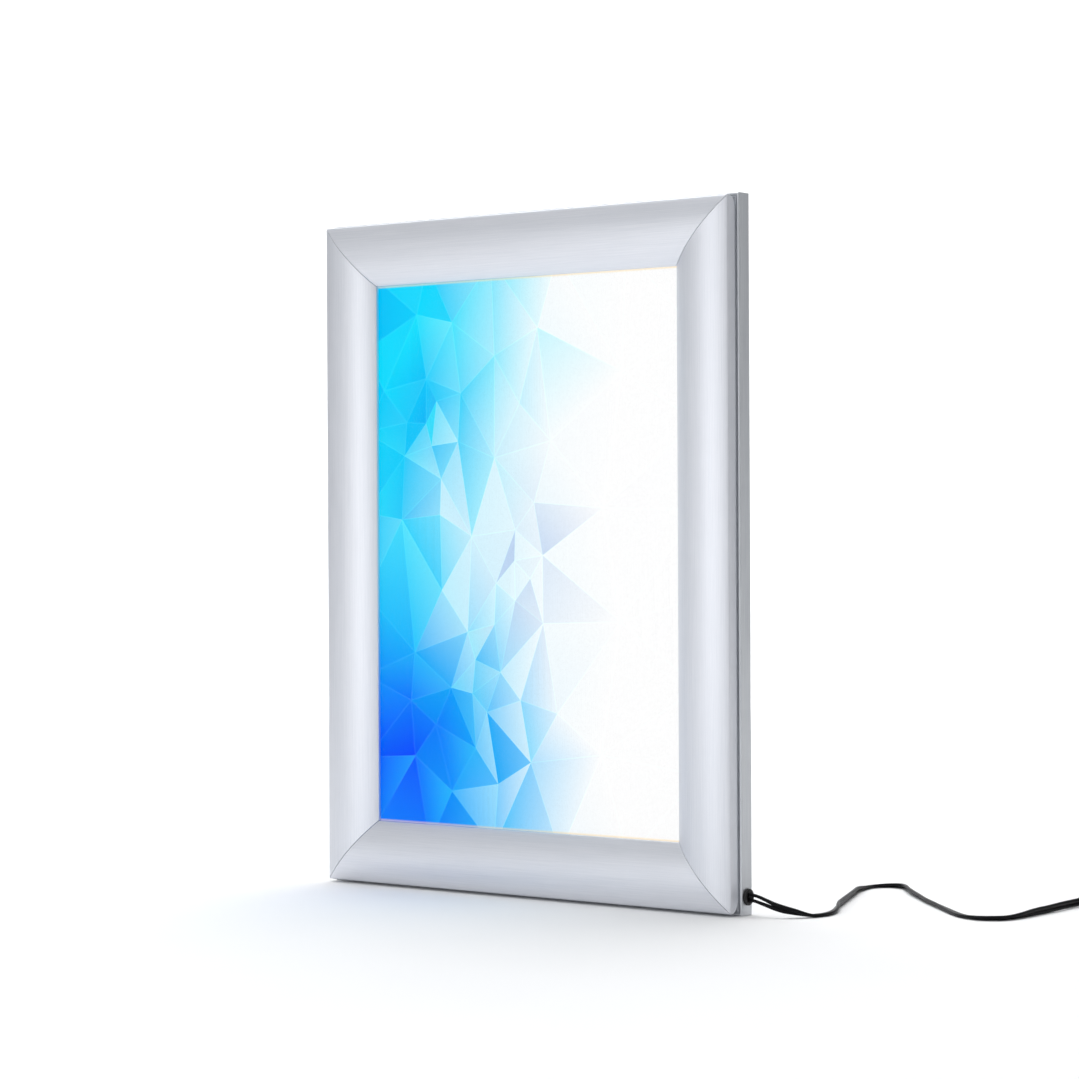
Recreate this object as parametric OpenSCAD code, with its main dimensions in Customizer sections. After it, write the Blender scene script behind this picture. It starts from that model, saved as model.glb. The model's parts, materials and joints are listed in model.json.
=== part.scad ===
// Slim edge-lit poster lightbox with four hinged snap rails, standing upright.
// Origin: middle of the underside. +Z up, the picture faces -Y.
// Cross-sections are drawn as [u, s]: u runs inwards from the housing's outer
// edge and s runs backwards from the front rails' outer front edge.

/* [Poster] */
// Width of the poster
poster_w = 210; // [148:1:420]
// Height of the poster
poster_h = 297; // [210:1:594]
// How far the front rails cover the poster on each side
poster_lap = 10; // [8:1:11]

/* [Snap rails] */
// Width of a front rail
rail_w = 32; // [30:1:33]
// Radius of the domed face of a front rail
dome_r = 29; // [28:1:40]
// How far a rail's inner edge lies behind its outer edge
inner_drop = 3.2; // [2.8:0.1:3.4]
// Thickness of the domed skin
rail_skin = 1.2; // [1:0.1:1.4]
// Half of the gap left at each mitre, measured along the rail
mitre_gap = 0.22; // [0.22:0.02:0.5]

/* [Housing] */
// Overall depth behind the rails' outer front edge
house_back = 16.2; // [16.2:0.2:20]
// How far the housing stands out beyond the front rails
proud = 1.5; // [1.4:0.1:2]
// Thickness of the outer side wall
wall = 1.6; // [1.5:0.1:1.8]
// Width of the rear flange
flange_w = 26; // [25:1:32]

/* [Light] */
// Thickness of the acrylic light guide
guide_t = 5; // [4:0.5:5]
// Number of LEDs on each bar
led_count = 24; // [8:2:30]

/* [Lead] */
// Width of the flat twin lead
lead_w = 4; // [3.8:0.1:4.2]
// Thickness of the flat twin lead
lead_t = 1.6; // [1.4:0.1:1.8]
// Radius of the coil at the middle of its turns
coil_r = 24; // [22:1:26]

/* [Hidden] */
$fn = 96;
eps = 0.01;
over = 1;  // how far a cutter runs past a face
fit = 0.05;  // room left round a piece that fits another
frame_w = poster_w + 2 * (rail_w - poster_lap);
frame_h = poster_h + 2 * (rail_w - poster_lap);
house_w = frame_w + 2 * proud;
house_h = frame_h + 2 * proud;
cut = 80;  // more than any rail is wide or deep

// Domed rail: the outer arc passes through the two edges of the rail.
edge_in = proud + rail_w;
chord = sqrt(rail_w * rail_w + inner_drop * inner_drop);
rise = sqrt(dome_r * dome_r - chord * chord / 4);
dome_c = [proud + rail_w / 2 - rise * inner_drop / chord,
          inner_drop / 2 + rise * rail_w / chord];
dome_front = dome_c[1] - dome_r;
wall_t = 1.4;
nose_end = 4.7;
rail_web = [1.4, 2.4];
rail_web_in = 10.2;

// The sign is centred in depth between the dome's crest and the back.
mid_s = (house_back + dome_front) / 2;

// Hinge: a bead along the rail's outer wall turns in a socket on the housing.
bead_r = 1.2;
socket_r = 1.25;
socket_out = 2.2;
SOCKET_MOUTH = [[0, 0], [3, -5.2], [-5, -5.2], [-5, 5.8], [-1.55, 5.8]];
post_front = 7.4;
post_t = 2.8;
hinge = [proud + bead_r, 5.6];
end_round = 5;

// Housing section.
lip_r = wall / 2;
lip_front = 7.1;
deck = [8.8, 10];
web = [12, 13.2];
web_front = 6.6;
flange_t = 2;
flange_in = house_back - flange_t;

// Stack of sheets, from the front.
cover_s = 5.0;
cover_t = 0.8;
poster_t = 0.3;
diffuser_t = 1.5;
reflector_t = 0.4;
cover_lap = 2;
poster_s = cover_s + cover_t;
diffuser_s = poster_s + poster_t;
guide_s = diffuser_s + diffuser_t;
reflector_s = guide_s + guide_t;
panel_s = reflector_s + reflector_t;
panel_in = web[1] + 2 * fit;
bar_t = 1.5;
led_t = 0.8;
led_gap = 0.4;
guide_in = web[1] + bar_t + led_t + led_gap;
bar_end = 6;
bar_len = house_h - 2 * (guide_in + bar_end);
led_size = [2.8, 3.5];

// Places of small parts: t runs along a rail from its middle, and each place is
// set by its distance from the housing's corner.
spring_corner = 63;
spring_at = [house_w / 2 - spring_corner, house_h / 2 - spring_corner];
spring_len = 36;
spring_c = [8.3, 5.8];
spring_r = 3;
spring_t = 0.5;
spring_mouth = 4.8;
spring_foot = 3.4;
key_u = [3.2, 10.2];
key_s = 10.1;
key_t = 1.3;
key_len = 38;
key_screw_at = 30;
key_screw_r = 1.45;
hex_r = 0.7;
hex_deep = 0.8;
wall_hole_u = 7;
wall_hole_r = 2.3;
wall_hole_corner = 92;
wall_hole_t = house_h / 2 - wall_hole_corner;
access_r = 4.5;
panel_screw_corner = 62;
panel_screw_at = [house_w / 2 - panel_screw_corner, house_h / 2 - panel_screw_corner];
panel_screw_u = 20;
screw_r = 1.2;
head_r = 2.6;
head_t = 1.3;
cross = [2.6, 1.2, 0.5];

// Lead entry, low on the right side wall.
entry_s = 12.1;
entry_z = 8.8;
entry_half = 1.6;
neck_r = 1.9;
lip_grow = [0.15, 0.6];
lip_t = 1;
bore_gap = 0.02;
rim_r = [4.05, 3.9];
rim_t = 1.4;
lead_u = 8;
lead_s = 12.9;
bend_start = 3.1;
bend_r = lead_u - bend_start;
wire_turn = 1;
clamp_z = [41, 48];
clamp_u = [2.2, 10.5];
clamp_screw_u = 4.2;
clamp_screw_gap = 1.5;
clamp_t = house_h / 2 - (clamp_z[0] + clamp_z[1]) / 2;
board_z = [50, 76];
board_u = [2.2, 11.6];
board_t = 1;
block_z = [58, 68];
block_u = [4.5, 11.5];
block_screw_r = 1;
block_screw_half = 1.8;
block_screw_z = 65;
wire_r = 0.5;
wire_u = 11.2;
wire_s = 12;
feed_z = 63;
feed_slot_size = [1.6, 4];

// Route of the lead over the surface. X is measured from the housing's side wall.
lead_r = lead_w / 2;
ROUTE = [
    [rim_t, entry_s - mid_s, entry_z],
    [5, 5.7, 8.3], [10, 5.8, 6.9], [15, 6.3, 5.3], [20, 8, 3.9], [25, 11.5, 2.8],
    [30, 18, 2.3], [31.5, 27, 2.3], [28.5, 38, 2.3], [22, 51, 2.3], [15.5, 66, 2.3],
    [9, 81, 2.3], [2.5, 96, 2.3], [-3.2, 109, 2.3], [-7.2, 120, 2.3], [-8.7, 130, 2.3],
    [-7.3, 135.2, 2.3], [-3.5, 139, 2.3], [1.5, 140.2, 2.3], [6.4, 138.8, 2.3],
    [10.5, 135, 2.3], [15.5, 129, 2.3], [21.5, 121.5, 2.3], [29, 113.3, 2.3],
    [37.5, 104.5, 2.3], [47, 94.5, 2.3], [58, 84, 2.3], [69, 73.5, 2.3], [79, 64, 2.3],
    [88, 57, 2.3], [98, 54, 2.3], [106.5, 58, 2.3], [110, 67, 2.3],
    [111, 79, 2.3], [111.5, 91, 2.3], [112, 103, 2.3], [112, 115, 2.3],
    [112, 126, 2.3], [112, 138, 2.6]
];

// Coil: the flat lead stands on its edge, in two layers of four turns side by
// side, on its tie's strap.
strap_t = 0.6;
strap_w = 8;
strap_room = 0.7;
strap_turn = -30;
turns_across = 4;
coil_half = turns_across * (lead_t + fit) / 2;
coil_at = [ROUTE[len(ROUTE) - 1][0] + coil_r + coil_half - lead_t / 2, 152];
coil_in = coil_r - coil_half;
coil_out = coil_r + coil_half;
coil_z = strap_t + 2 * fit;
coil_top = coil_z + 2 * lead_w;

// Tail from the coil's last turn to the plug, measured from the coil's middle.
TAIL = [[8, 27.4, 7.3], [13, 28, 6.8], [18, 29.4, 5.6], [23, 30, 5]];
plug_at = TAIL[len(TAIL) - 1];
relief_len = 10;
plug_len = 18;
plug_r = 5;
relief_r = [2.8, 3.9];
barrel_len = 9.5;
barrel_r = 2.75;
barrel_floor = 1.5;
pin_r = 1.05;

// ---- frames of reference -------------------------------------------------

// Side 0 is the top, 1 the right, 2 the bottom and 3 the left. Inside it X is u,
// Y is s and Z runs along the side from its middle.
function side_half(side) = (side % 2 == 0 ? house_h : house_w) / 2;
function side_len(side) = side % 2 == 0 ? house_w : house_h;

module at_side(side)
    translate([0, 0, house_h / 2])
        rotate([0, 90 * side, 0])
            translate([0, -mid_s, side_half(side)])
                rotate([0, 90, 0])
                    children();

// A cylinder along s, from s0 to s1, at [u, t] on a side.
module along_s(at, s0, s1, r1, r2)
    translate([at[0], s0, at[1]])
        rotate([-90, 0, 0])
            cylinder(h = s1 - s0, r1 = r1, r2 = r2);

// Everything between the two mitres of a side.
module mitre_room(side, gap) {
    half = side_len(side) / 2 - gap;
    rotate([90, 0, 0])
        linear_extrude(cut, center = true)
            polygon([[0, half], [cut / 2, half - cut / 2], [cut / 2, cut / 2 - half], [0, -half]]);
}

// A sheet of the given inset from the housing's sides and ends.
module sheet(in_x, in_z, s, t)
    translate([-house_w / 2 + in_x, s - mid_s, in_z])
        cube([house_w - 2 * in_x, t, house_h - 2 * in_z]);

// ---- front rails ---------------------------------------------------------

module rail_section() {
    intersection() {
        translate(dome_c) difference() {
            circle(dome_r, $fn = 360);
            circle(dome_r - rail_skin, $fn = 360);
        }
        translate([proud, dome_front - 1]) square([rail_w, nose_end + 5]);
    }
    // Nose that presses on the cover sheet.
    translate([edge_in - wall_t, inner_drop]) square([wall_t, nose_end - inner_drop]);
    // Outer wall, ending in the hinge bead.
    translate([proud, rail_skin / 2]) square([wall_t, hinge[1] - rail_skin / 2]);
    translate(hinge) circle(bead_r);
    // Web that the springs push against.
    translate([proud + wall_t / 2, rail_web[0]])
        square([rail_web_in - proud - wall_t / 2, rail_web[1] - rail_web[0]]);
}

// Rounds off the rear corners of the outer wall next to each mitre.
module wall_end_cut(side) {
    end = side_len(side) / 2 - proud;
    for (m = [0, 1])
        mirror([0, 0, m])
            difference() {
                translate([0, hinge[1] - end_round, end - end_round])
                    cube([hinge[0] + socket_out, end_round + 3, end_round + 3]);
                translate([-1, hinge[1] - end_round, end - end_round])
                    rotate([0, 90, 0]) cylinder(h = 9, r = end_round);
            }
}

module snap_rail(side)
    color("silver") at_side(side)
        difference() {
            intersection() {
                linear_extrude(side_len(side), center = true) rail_section();
                mitre_room(side, mitre_gap);
            }
            wall_end_cut(side);
        }

// ---- housing rails -------------------------------------------------------

module base_section() {
    // Outer wall with its rounded front lip and rounded rear edge.
    translate([lip_r, lip_front + lip_r]) circle(lip_r);
    translate([0, lip_front + lip_r]) square([wall, house_back - lip_front - 2 * lip_r]);
    translate([lip_r, house_back - lip_r]) circle(lip_r);
    translate([lip_r, flange_in]) square([flange_w - lip_r, flange_t]);
    translate([wall - eps, deck[0]]) square([web[1] - wall, deck[1] - deck[0]]);
    translate([web[0], web_front]) square([web[1] - web[0], flange_in + eps - web_front]);
    // Open socket of the hinge, on a post that stands on the deck.
    translate(hinge) difference() {
        circle(socket_out);
        circle(socket_r);
        polygon(SOCKET_MOUTH);
    }
    translate([wall - eps, post_front]) square([post_t, deck[0] - post_front + eps]);
}

module wall_hole(side, t) {
    along_s([wall_hole_u, t], flange_in - over, house_back + over, wall_hole_r, wall_hole_r);
    along_s([wall_hole_u, t], deck[0] - over, deck[1] + over, access_r, access_r);
}

function panel_screw_spots(side) = [-1, 1] * panel_screw_at[side % 2];
function key_screw_spot(side, m) =
    [(key_u[0] + key_u[1]) / 2, m * (side_len(side) / 2 - key_screw_at)];

module countersink(at, grow)
    union() {
        along_s(at, flange_in - over, house_back + eps, screw_r + grow, screw_r + grow);
        along_s(at, house_back - head_t, house_back + eps, screw_r + grow, head_r + grow);
    }

module base_rail(side)
    color("gainsboro") at_side(side)
        difference() {
            intersection() {
                linear_extrude(side_len(side), center = true) base_section();
                mitre_room(side, fit);
            }
            for (t = panel_screw_spots(side)) countersink([panel_screw_u, t], fit);
            for (m = [-1, 1])
                along_s(key_screw_spot(side, m), deck[0] - over, deck[1] + over,
                        key_screw_r + fit, key_screw_r + fit);
            if (side % 2 == 1)
                for (m = [-1, 1]) wall_hole(side, m * wall_hole_t);
            if (side == 1) entry_cut();
            if (side % 2 == 1) feed_slot(side);
        }

// Oval hole for the grommet, and the clamp's screw hole.
module entry_cut() {
    oval(-over, wall + eps, neck_r + fit, entry_half);
    countersink([clamp_screw_u, clamp_t], fit);
}

// Slot through the inner web where a wire reaches its LED bar.
module feed_slot(side) {
    t = (side == 1 ? 1 : -1) * (house_h / 2 - feed_z);
    translate([web[0] - over, wire_s - feed_slot_size[0] / 2, t - feed_slot_size[1] / 2])
        cube([web[1] - web[0] + 2 * over, feed_slot_size[0], feed_slot_size[1]]);
}

// An oval bar across the side wall at the lead entry, from u0 to u1.
module oval(u0, u1, r, half)
    translate([0, entry_s, house_h / 2 - entry_z])
        union() {
            for (m = [-1, 1])
                translate([u0, 0, m * half]) rotate([0, 90, 0]) cylinder(h = u1 - u0, r = r);
            translate([u0, -r, -half]) cube([u1 - u0, 2 * r, 2 * half]);
        }

// ---- springs, keys and screws --------------------------------------------

// Leaf spring: a foot on the deck that curls up to the rail's web.
module spring_section() {
    difference() {
        translate(spring_c) circle(spring_r);
        translate(spring_c) circle(spring_r - spring_t);
        translate([spring_c[0], spring_c[1] - spring_mouth / 2])
            square([spring_r + over, spring_r + spring_mouth]);
    }
    translate([spring_c[0] - eps, deck[0] - spring_t]) square([spring_foot, spring_t]);
}

module springs(side)
    color("slategray") at_side(side)
        for (m = [-1, 1])
            translate([0, 0, m * spring_at[side % 2]])
                linear_extrude(spring_len, center = true) spring_section();

module one_key()
    translate([-house_w / 2, key_s - mid_s, 0])
        union() {
            translate([key_u[0], 0, key_u[0]]) cube([key_len - key_u[0], key_t, key_u[1] - key_u[0]]);
            translate([key_u[0], 0, key_u[0]]) cube([key_u[1] - key_u[0], key_t, key_len - key_u[0]]);
        }

module corner_keys()
    color("dimgray")
        for (mx = [0, 1], mz = [0, 1])
            translate([0, 0, mz * house_h]) mirror([0, 0, mz]) mirror([mx, 0, 0]) one_key();

// Set screws that hold the keys; each has a socket in its outer end.
module key_screws()
    color("black")
        for (side = [0:3], m = [-1, 1])
            at_side(side)
                difference() {
                    along_s(key_screw_spot(side, m), deck[0], key_s, key_screw_r, key_screw_r);
                    along_s(key_screw_spot(side, m), deck[0] - over, deck[0] + hex_deep, hex_r, hex_r);
                }

module countersunk_screw(at, s0)
    difference() {
        union() {
            along_s(at, s0, house_back, screw_r, screw_r);
            along_s(at, house_back - head_t, house_back, screw_r, head_r);
        }
        cross_slot(at);
    }

module cross_slot(at)
    for (turn = [0, 90])
        translate([at[0], house_back, at[1]])
            rotate([0, turn, 0]) cube(cross, center = true);

module panel_screws()
    color("silver")
        for (side = [0:3])
            at_side(side)
                for (t = panel_screw_spots(side))
                    countersunk_screw([panel_screw_u, t], panel_s + 2 * fit);

// ---- sheets --------------------------------------------------------------

module back_panel()
    color("white")
        difference() {
            sheet(panel_in, panel_in, panel_s, flange_in - panel_s);
            for (side = [0:3])
                at_side(side)
                    for (t = panel_screw_spots(side))
                        along_s([panel_screw_u, t], panel_s - over, flange_in + over,
                                screw_r + fit, screw_r + fit);
        }

module reflector_sheet() color("white") sheet(panel_in, panel_in, reflector_s, reflector_t);

module light_guide() color("powderblue", 0.6) sheet(guide_in, panel_in, guide_s, guide_t);

module diffuser_sheet() color("whitesmoke") sheet(panel_in, panel_in, diffuser_s, diffuser_t);

module poster()
    color("deepskyblue")
        sheet((house_w - poster_w) / 2, (house_h - poster_h) / 2, poster_s, poster_t);

module cover_sheet()
    color("lightcyan", 0.4)
        sheet((house_w - poster_w) / 2 - cover_lap, (house_h - poster_h) / 2 - cover_lap,
              cover_s, cover_t);

// ---- light source --------------------------------------------------------

module led_bar(side)
    color("white") at_side(side)
        translate([web[1], guide_s, -bar_len / 2]) cube([bar_t, guide_t, bar_len]);

module leds(side)
    color("khaki") at_side(side)
        for (i = [0 : led_count - 1])
            translate([web[1] + bar_t, guide_s + (guide_t - led_size[0]) / 2,
                       (i + 0.5) * bar_len / led_count - (bar_len + led_size[1]) / 2])
                cube([led_t, led_size[0], led_size[1]]);

// ---- lead inside the housing ---------------------------------------------

// Rubber grommet: a round flange outside, an oval neck through the wall and an
// oval lip inside, with an oval bore for the lead.
module lead_grommet()
    color("black") at_side(1)
        difference() {
            union() {
                oval(-eps, wall + fit, neck_r, entry_half);
                oval(wall + fit, wall + lip_t, neck_r + lip_grow[0], entry_half + lip_grow[1]);
                translate([0, entry_s, house_h / 2 - entry_z])
                    rotate([0, -90, 0]) cylinder(h = rim_t, r1 = rim_r[0], r2 = rim_r[1]);
            }
            oval(-rim_t - over, wall + lip_t + over, lead_t / 2 + bore_gap, (lead_w - lead_t) / 2);
        }

// The flat lead inside the grommet's flange.
module lead_neck()
    color("black") at_side(1) oval(-rim_t, 0, lead_t / 2, (lead_w - lead_t) / 2);

// The flat lead from the wall's outer face, round one bend and up to the terminal.
module lead_inner()
    color("black") at_side(1) {
        union() {
            oval(0, bend_start, lead_t / 2, (lead_w - lead_t) / 2);
            translate([bend_start, lead_s, house_h / 2 - entry_z]) lead_step();
        }
    }

// From the entry's depth the lead drops back to pass behind the corner key.
module lead_step() {
    drop = lead_s - entry_s;
    step = bend_start - wall - lip_t - 2 * fit;
    translate([-step, -drop - lead_t / 2, -lead_w / 2]) cube([step + eps, drop + lead_t, lead_w]);
    translate([0, 0, -bend_r])
        rotate([90, 0, 0])
            rotate_extrude(angle = 90)
                translate([bend_r - lead_w / 2, -lead_t / 2]) square([lead_w, lead_t]);
    translate([bend_r - lead_w / 2, -lead_t / 2, -(block_z[0] - entry_z)])
        cube([lead_w, lead_t, block_z[0] - entry_z - bend_r + eps]);
}

module cable_clamp()
    color("ivory") at_side(1)
        difference() {
            translate([clamp_u[0], deck[1] + fit, house_h / 2 - clamp_z[1]])
                cube([clamp_u[1] - clamp_u[0], flange_in - deck[1] - 2 * fit, clamp_z[1] - clamp_z[0]]);
            translate([lead_u - lead_w / 2 - fit, lead_s - lead_t / 2 - fit,
                       house_h / 2 - clamp_z[1] - over])
                cube([lead_w + 2 * fit, flange_in - deck[1], clamp_z[1] - clamp_z[0] + 2 * over]);
            along_s([clamp_screw_u, clamp_t], deck[1] + over, flange_in + over,
                    screw_r + fit, screw_r + fit);
        }

module clamp_screw()
    color("silver") at_side(1) countersunk_screw([clamp_screw_u, clamp_t], deck[1] + clamp_screw_gap);

module terminal_board()
    color("seagreen") at_side(1)
        translate([board_u[0], deck[1] + fit, house_h / 2 - board_z[1]])
            cube([board_u[1] - board_u[0], board_t, board_z[1] - board_z[0]]);

module terminal_block()
    color("green") at_side(1)
        difference() {
            translate([block_u[0], deck[1] + fit + board_t, house_h / 2 - block_z[1]])
                cube([block_u[1] - block_u[0], flange_in - deck[1] - board_t - 4 * fit,
                      block_z[1] - block_z[0]]);
            for (m = [-1, 1])
                along_s([(block_u[0] + block_u[1]) / 2 + m * block_screw_half,
                         house_h / 2 - block_screw_z],
                        flange_in - over, flange_in + over, block_screw_r, block_screw_r);
        }

module feed_wire()
    color("red") at_side(1)
        translate([block_u[1], wire_s, house_h / 2 - feed_z])
            rotate([0, 90, 0]) cylinder(h = web[1] - block_u[1], r = wire_r);

// Wire from the terminal along the bottom channel to the left LED bar.
module link_wire() {
    turn = wire_turn;
    x = house_w / 2 - wire_u;
    color("red") translate([0, wire_s - mid_s, 0])
        union() {
            translate([x, 0, wire_u + turn]) cylinder(h = block_z[0] - wire_u - turn, r = wire_r);
            wire_bend([x - turn, wire_u + turn], turn, 270);
            translate([turn - x, 0, wire_u]) rotate([0, 90, 0]) cylinder(h = 2 * (x - turn), r = wire_r);
            wire_bend([turn - x, wire_u + turn], turn, 180);
            translate([-x, 0, wire_u + turn]) cylinder(h = feed_z - wire_u - 2 * turn, r = wire_r);
            wire_bend([turn - x, feed_z - turn], turn, 90);
            translate([turn - x, 0, feed_z]) rotate([0, 90, 0])
                cylinder(h = web[1] - wire_u - turn, r = wire_r);
        }
}

// A quarter bend in the X-Z plane about [x, z], starting at the given angle.
module wire_bend(at, turn, start)
    translate([at[0], 0, at[1]])
        rotate([90, 0, 0])
            rotate_extrude(angle = 90, start = start) translate([turn, 0]) circle(wire_r);

// ---- lead outside the housing --------------------------------------------

function unit(v) = v / norm(v);

// A point on the smooth curve through a list of points, k of the way past point i.
function knot(list, i) = list[max(0, min(len(list) - 1, i))];
function spline(list, i, k) =
    let (a = knot(list, i - 1), b = knot(list, i), c = knot(list, i + 1), d = knot(list, i + 2))
    0.5 * ((2 * b) + (c - a) * k + (2 * a - 5 * b + 4 * c - d) * k * k
           + (3 * b - a - 3 * c + d) * k * k * k);
function smooth(list) =
    concat([for (i = [0 : len(list) - 2], k = [0, 0.5]) spline(list, i, k)], [list[len(list) - 1]]);

module swept_tube(points, r, sides) {
    n = len(points);
    rings = [for (i = [0 : n - 1])
        let (ahead = unit(points[min(n - 1, i + 1)] - points[max(0, i - 1)]),
             across = unit(cross(ahead, [0, 0, 1])),
             upward = cross(across, ahead))
        for (j = [0 : sides - 1])
            let (a = 360 * (j + 0.5) / sides)
            points[i] + r * (cos(a) * across + sin(a) * upward)];
    sides_faces = [for (i = [0 : n - 2], j = [0 : sides - 1])
        let (k = (j + 1) % sides)
        [i * sides + j, (i + 1) * sides + j, (i + 1) * sides + k, i * sides + k]];
    polyhedron(points = rings,
               faces = concat([[for (j = [0 : sides - 1]) j]], sides_faces,
                              [[for (j = [sides - 1 : -1 : 0]) (n - 1) * sides + j]]),
               convexity = 6);
}

// Everything on the surface is placed from the foot of the side wall.
module beside() translate([house_w / 2, 0, 0]) children();
module at_coil() beside() translate([coil_at[0], coil_at[1], 0]) children();

module lead_run() color("black") beside() swept_tube(smooth(ROUTE), lead_r, 10);

module lead_coil()
    color("black")
        at_coil()
            translate([0, 0, coil_z])
                rotate_extrude()
                    translate([coil_in, 0]) square([coil_out - coil_in, coil_top - coil_z]);

module lead_tail() color("black") at_coil() swept_tube(smooth(TAIL), lead_r, 10);

// Strap round the coil.
module lead_tie() {
    top = coil_top + 2 * fit;
    color("dimgray")
        at_coil()
            rotate([0, 0, strap_turn])
                difference() {
                    translate([coil_in - strap_room - strap_t, -strap_w / 2, 0])
                        cube([coil_out - coil_in + 2 * (strap_room + strap_t), strap_w, top + strap_t]);
                    translate([coil_in - strap_room, -strap_w / 2 - over, strap_t])
                        cube([coil_out - coil_in + 2 * strap_room, strap_w + 2 * over, top - strap_t]);
                }
}

// Low-voltage plug, lying along X beside the coil.
module on_plug(x)
    at_coil() translate([plug_at[0] + x, plug_at[1], plug_r]) rotate([0, 90, 0]) children();

module plug_relief()
    color("black") on_plug(0) cylinder(h = relief_len, r1 = relief_r[0], r2 = relief_r[1]);

module plug_body() color("black") on_plug(relief_len) cylinder(h = plug_len, r = plug_r);

module plug_barrel()
    color("silver")
        on_plug(relief_len + plug_len)
            difference() {
                cylinder(h = barrel_len, r = barrel_r);
                translate([0, 0, barrel_floor]) cylinder(h = barrel_len, r = pin_r);
            }

// ---- nodes ---------------------------------------------------------------

snap_rail(0);  // snap_rail_top
snap_rail(1);  // snap_rail_right
snap_rail(2);  // snap_rail_bottom
snap_rail(3);  // snap_rail_left
base_rail(0);  // base_rail_top
base_rail(1);  // base_rail_right
base_rail(2);  // base_rail_bottom
base_rail(3);  // base_rail_left
springs(0);  // springs_top
springs(1);  // springs_right
springs(2);  // springs_bottom
springs(3);  // springs_left
corner_keys();
key_screws();
back_panel();
panel_screws();
reflector_sheet();
light_guide();
diffuser_sheet();
poster();
cover_sheet();
led_bar(1);  // led_bar_right
led_bar(3);  // led_bar_left
leds(1);  // leds_right
leds(3);  // leds_left
lead_grommet();
lead_neck();
lead_inner();
cable_clamp();
clamp_screw();
terminal_board();
terminal_block();
feed_wire();
link_wire();
lead_run();
lead_coil();
lead_tail();
lead_tie();
plug_relief();
plug_body();
plug_barrel();
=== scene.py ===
"""Looks of the snap-frame lightbox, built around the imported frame."""
import json
import math
import random

import bpy
from mathutils import Matrix, Vector
from mathutils.geometry import delaunay_2d_cdt, tessellate_polygon


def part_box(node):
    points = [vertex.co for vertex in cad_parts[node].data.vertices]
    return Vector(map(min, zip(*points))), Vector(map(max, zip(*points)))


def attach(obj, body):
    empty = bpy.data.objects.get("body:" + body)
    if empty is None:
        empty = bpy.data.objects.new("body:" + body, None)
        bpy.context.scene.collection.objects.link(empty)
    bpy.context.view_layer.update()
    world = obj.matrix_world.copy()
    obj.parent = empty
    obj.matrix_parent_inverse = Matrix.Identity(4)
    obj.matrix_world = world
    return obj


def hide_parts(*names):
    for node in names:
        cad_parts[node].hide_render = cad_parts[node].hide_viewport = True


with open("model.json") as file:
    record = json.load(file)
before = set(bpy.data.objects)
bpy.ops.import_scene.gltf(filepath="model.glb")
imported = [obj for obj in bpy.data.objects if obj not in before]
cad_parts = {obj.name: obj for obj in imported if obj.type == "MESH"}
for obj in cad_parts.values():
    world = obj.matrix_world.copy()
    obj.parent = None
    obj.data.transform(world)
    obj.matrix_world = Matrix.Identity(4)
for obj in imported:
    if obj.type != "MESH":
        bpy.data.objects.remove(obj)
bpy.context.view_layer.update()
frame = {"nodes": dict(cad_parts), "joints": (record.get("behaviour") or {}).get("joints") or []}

MM = 0.001
X_AXIS = Vector((1, 0, 0))
Z_AXIS = Vector((0, 0, 1))
SIDES = ("top", "right", "bottom", "left")

# ---- places taken from the frame ------------------------------------------

HOUSE_LOW = Vector([min(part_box("base_rail_" + s)[0][i] for s in SIDES) for i in range(3)])
HOUSE_HIGH = Vector([max(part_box("base_rail_" + s)[1][i] for s in SIDES) for i in range(3)])
HOUSE_W = HOUSE_HIGH.x - HOUSE_LOW.x
HOUSE_H = HOUSE_HIGH.z - HOUSE_LOW.z
MIDDLE_Z = (HOUSE_LOW.z + HOUSE_HIGH.z) / 2
SIDE_X = HOUSE_HIGH.x
BEAD_S = 5.6  # millimetres from the front rails' outer front edge back to their hinges
EDGE_Y = frame["joints"][0]["pos_m"][1] - BEAD_S * MM  # the plane of that edge

# ---- camera ---------------------------------------------------------------

CAMERA_LENS = 100.0
CAMERA_SENSOR = 36.0
CAMERA_DISTANCE = 1.4873
CAMERA_YAW = math.radians(37.754)
CAMERA_PITCH = math.radians(-0.202)
CAMERA_ROLL = math.radians(-0.265)
LOOK_AT = Vector((0.01356, EDGE_Y, MIDDLE_Z + 0.00726))


def make_camera():
    """Looks at LOOK_AT from CAMERA_DISTANCE away."""
    level = Vector((math.cos(CAMERA_YAW), math.sin(CAMERA_YAW), 0))
    forward = Z_AXIS.cross(level) * math.cos(CAMERA_PITCH) + Z_AXIS * math.sin(CAMERA_PITCH)
    upright = level.cross(forward)
    right = level * math.cos(CAMERA_ROLL) + upright * math.sin(CAMERA_ROLL)
    up = right.cross(forward)
    camera = bpy.data.objects.new("camera", bpy.data.cameras.new("camera"))
    bpy.context.scene.collection.objects.link(camera)
    axes = Matrix((right, up, -forward)).transposed()
    camera.matrix_world = Matrix.Translation(LOOK_AT - forward * CAMERA_DISTANCE) @ axes.to_4x4()
    camera.data.lens = CAMERA_LENS
    camera.data.sensor_width = CAMERA_SENSOR
    camera.data.clip_start = 10 * MM
    bpy.context.scene.camera = camera


make_camera()

# ---- mesh helpers ---------------------------------------------------------

SIDE_SHARE = 0.45  # the most of a side of a profile that one rounded corner takes
ROUND_SHARP = 35  # degrees at which an edge of a turned piece stays sharp


def mesh_object(name, points, faces, smooth=True):
    mesh = bpy.data.meshes.new(name)
    mesh.from_pydata([tuple(p) for p in points], [], faces)
    mesh.update()
    mesh.validate()
    if smooth:
        smooth_faces(mesh)
    piece = bpy.data.objects.new(name, mesh)
    bpy.context.scene.collection.objects.link(piece)
    return piece


def smooth_faces(mesh):
    mesh.polygons.foreach_set("use_smooth", [True] * len(mesh.polygons))


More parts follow.
